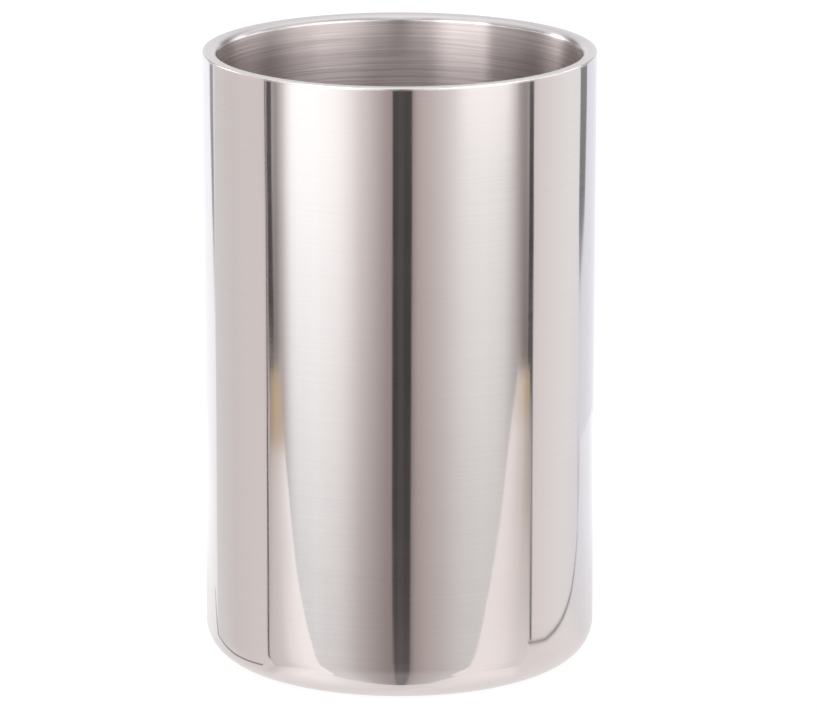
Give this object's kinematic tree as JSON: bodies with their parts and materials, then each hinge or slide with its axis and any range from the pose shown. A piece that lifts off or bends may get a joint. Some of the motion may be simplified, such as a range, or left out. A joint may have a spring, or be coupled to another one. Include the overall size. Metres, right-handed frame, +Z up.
{
  "type": "champagne bucket",
  "caption": "Straight-sided double-walled stainless steel table cooler for a champagne or wine bottle, with a rounded foot and a flat satin lip.",
  "frame": {"origin": "centre of the base, on the surface that the cooler stands on", "axes": "+Z up along the axis that every piece is turned about; X and Y are any two level directions, because the shape is the same all round"},
  "size_m": [0.12, 0.12, 0.19],
  "materials": {
    "polished_steel": "polished",
    "brushed_steel": "satin",
    "lip_steel": "satin",
    "pressed_steel": "satin",
    "weld_steel": "satin"
  },
  "bodies": {
    "root": {"outer_shell": "polished_steel", "inner_liner": "brushed_steel", "rim_weld": "lip_steel", "base_plate": "pressed_steel", "base_weld": "weld_steel"}
  },
  "joints": []
}
